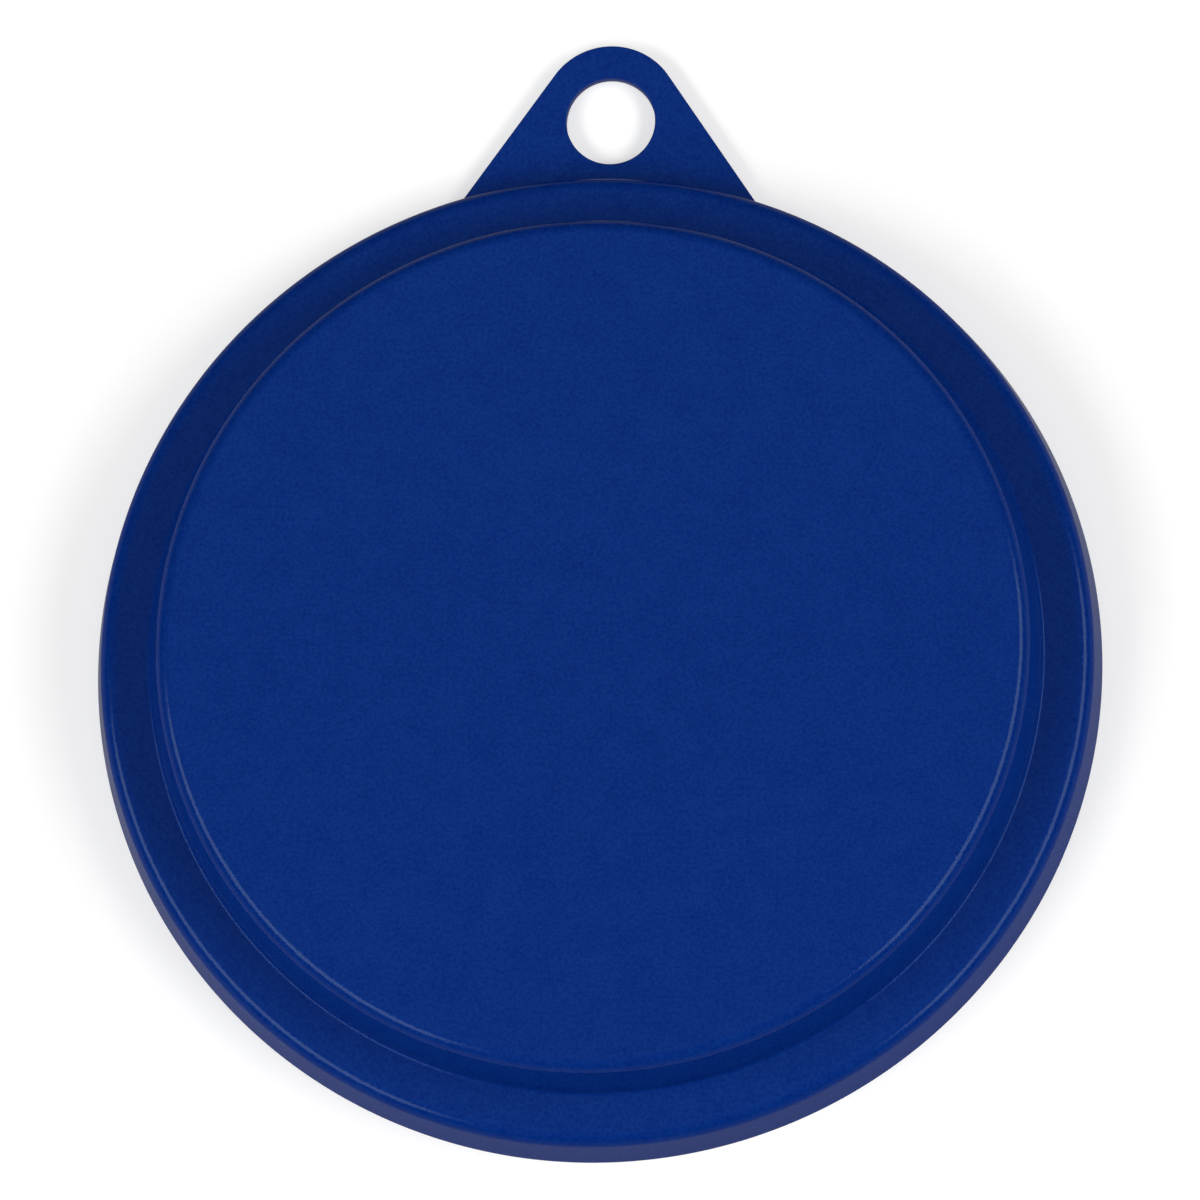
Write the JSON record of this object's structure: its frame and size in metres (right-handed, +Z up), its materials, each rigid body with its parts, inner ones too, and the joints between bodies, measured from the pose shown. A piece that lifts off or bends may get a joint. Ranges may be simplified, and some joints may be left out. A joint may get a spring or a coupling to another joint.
{
  "type": "can lid",
  "caption": "Stepped snap-over plastic lid for an opened food can, with a flat raised panel, a rim and a hang tab with a round hole.",
  "frame": {"origin": "on the lid's axis, in the plane of the skirt's mouth, which is what it rests on", "axes": "+Z up along the lid's axis, from the open mouth to the raised panel; +Y along the hang tab"},
  "size_m": [0.09, 0.1025, 0.0111],
  "materials": {
    "lid_plastic": "fine moulded grain, deep blue, through-coloured soft plastic"
  },
  "bodies": {
    "root": {"lid": "lid_plastic"}
  },
  "joints": []
}
